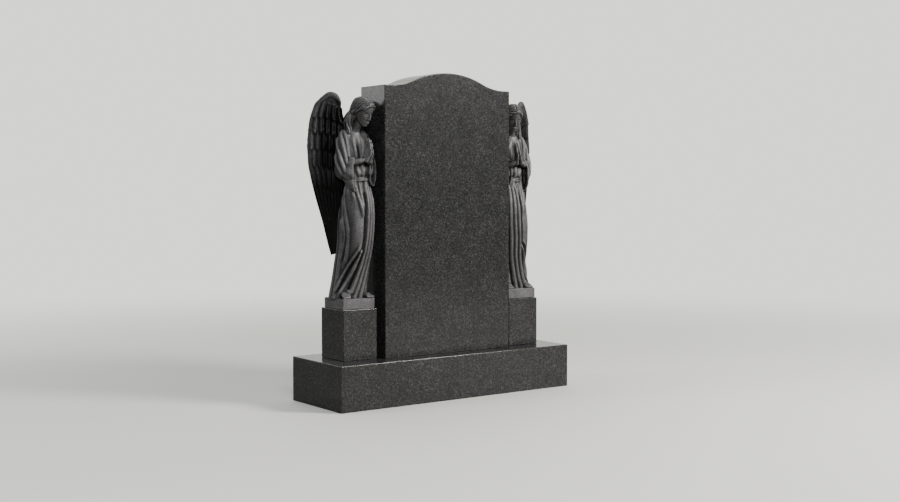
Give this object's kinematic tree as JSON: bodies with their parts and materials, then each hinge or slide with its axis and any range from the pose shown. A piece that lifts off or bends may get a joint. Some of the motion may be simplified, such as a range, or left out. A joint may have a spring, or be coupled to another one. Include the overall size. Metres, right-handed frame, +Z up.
{
  "type": "angel headstone",
  "caption": "Upright granite headstone with a serpentine top and bare face, a praying angel on a pedestal at either side, on one long base.",
  "frame": {"origin": "middle of the base's underside, on the ground", "axes": "+Z up, the tablet's bare face looks along -Y, +X to the viewer's right when facing it"},
  "size_m": [1.22, 0.4, 1.4123],
  "materials": {
    "polished_granite": "dark grey granite, polished, with a fine speckle",
    "honed_granite": "dark grey granite, carved and honed, matte"
  },
  "bodies": {
    "root": {"base": "polished_granite", "tablet": "polished_granite", "left_pedestal": "polished_granite", "right_pedestal": "polished_granite", "left_angel": "honed_granite", "right_angel": "honed_granite"}
  },
  "joints": []
}
